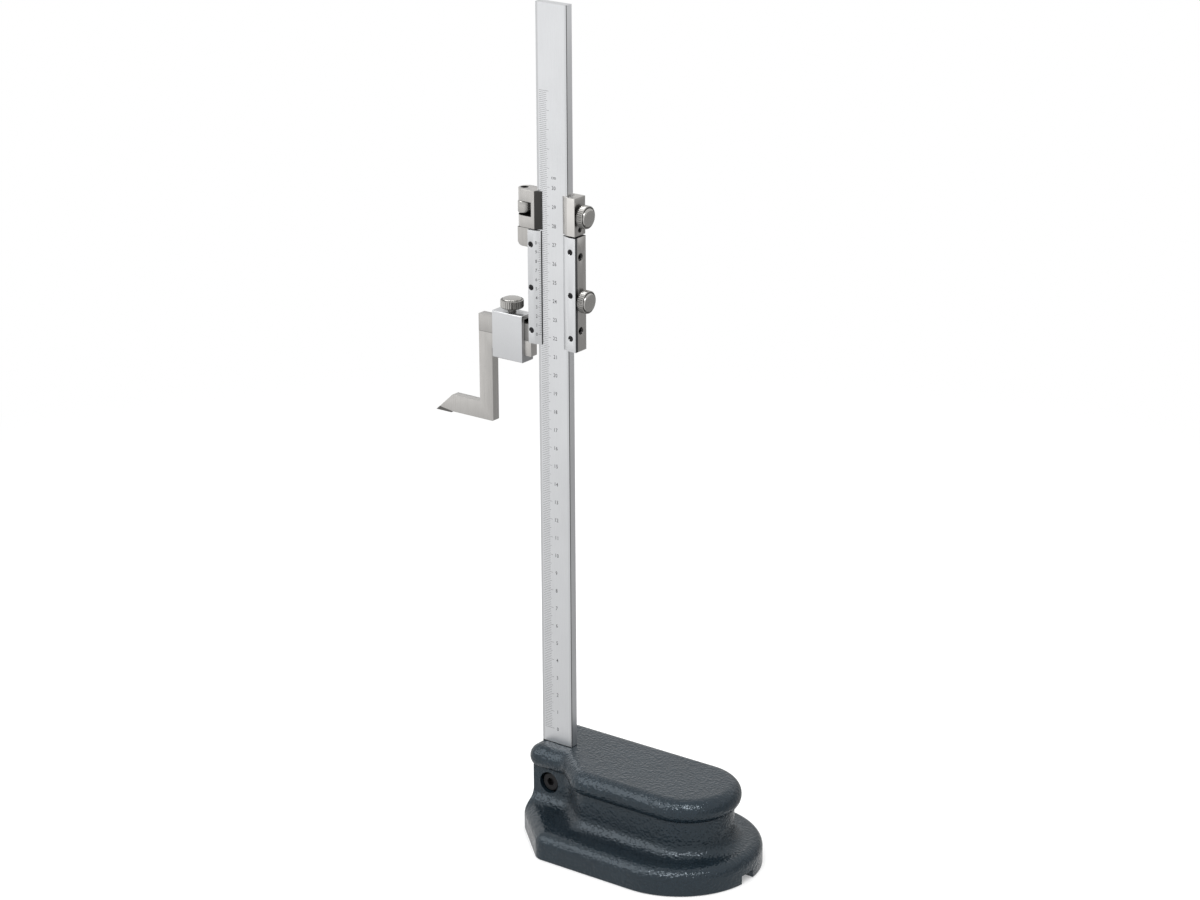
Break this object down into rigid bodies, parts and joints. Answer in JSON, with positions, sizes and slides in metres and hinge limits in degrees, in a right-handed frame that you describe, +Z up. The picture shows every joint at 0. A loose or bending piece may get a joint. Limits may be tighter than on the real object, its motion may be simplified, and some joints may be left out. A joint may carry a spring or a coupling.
{
  "type": "vernier height gauge",
  "caption": "Height gauge: flat graduated beam on a cast base, vernier slider with fine-adjustment carriage, and a clamped Z-shaped scriber.",
  "frame": {"origin": "on the flat underside of the base, below the middle of the beam's width and thickness", "axes": "+Z up along the beam, the graduated face looks to -Y, the scriber points to -X and the long end of the base to +X"},
  "size_m": [0.2019, 0.0888, 0.45],
  "materials": {
    "enamel": "hammered gloss enamel, dark blue-grey",
    "satin_chrome": "satin chrome",
    "ground_steel": "fine ground stainless steel",
    "nickel": "nickel-plated, knurled",
    "black_oxide": "black oxide",
    "brass": "turned brass",
    "carbide": "ground hard metal"
  },
  "bodies": {
    "base": {"base_casting": "enamel", "beam": "satin_chrome", "beam_clamp_screw": "black_oxide"},
    "slider": {"slider_body": "ground_steel", "vernier_plate": "satin_chrome", "keeper_plate": "satin_chrome", "vernier_plate_screws": "black_oxide", "keeper_plate_screws": "black_oxide", "slider_gib": "ground_steel", "slider_gib_screws": "black_oxide", "slider_lock_pad": "brass", "fine_adjust_screw": "ground_steel"},
    "slider_lock": {"slider_lock_screw": "nickel"},
    "carriage": {"carriage_body": "ground_steel", "carriage_gib": "ground_steel", "carriage_gib_screw": "black_oxide", "carriage_lock_pad": "brass"},
    "carriage_lock": {"carriage_lock_screw": "nickel"},
    "adjusting_nut": {"fine_adjust_nut": "nickel"},
    "scriber_arm": {"scriber": "ground_steel", "scriber_tip": "carbide"},
    "clamp": {"clamp_box": "satin_chrome"},
    "clamp_knob": {"clamp_screw": "nickel"}
  },
  "joints": [
    {"name": "slider_travel", "type": "slide", "parent": "base", "child": "slider", "axis": [0, 0, 1], "range_m": [-0.22084, 0.07916]},
    {"name": "carriage_offset", "type": "slide", "parent": "slider", "child": "carriage", "axis": [0, 0, 1], "range_m": [-0.0007, 0.006]},
    {"name": "nut_turn", "type": "hinge", "parent": "carriage", "child": "adjusting_nut", "pos_m": [-0.0195, 0, 0.34194], "axis": [0, 0, 1], "range_deg": [-505, 4321]},
    {"name": "slider_lock_turn", "type": "hinge", "parent": "slider", "child": "slider_lock", "pos_m": [0.016, 0, 0.29744], "axis": [1, 0, 0], "range_deg": [0, 360]},
    {"name": "carriage_lock_turn", "type": "hinge", "parent": "carriage", "child": "carriage_lock", "pos_m": [0.0158, 0, 0.34224], "axis": [1, 0, 0], "range_deg": [0, 360]},
    {"name": "scriber_slide", "type": "slide", "parent": "slider", "child": "scriber_arm", "axis": [1, 0, 0], "range_m": [-0.012, 0.001]},
    {"name": "clamp_slide", "type": "slide", "parent": "scriber_arm", "child": "clamp", "axis": [1, 0, 0], "range_m": [-0.0015, 0.0028]},
    {"name": "clamp_turn", "type": "hinge", "parent": "clamp", "child": "clamp_knob", "pos_m": [-0.0287, 0, 0.28374], "axis": [0, 0, 1], "range_deg": [0, 360]}
  ],
  "couplings": [
    {"joint": "nut_turn", "follows": "carriage_offset", "rad_per_m": 12566}
  ]
}
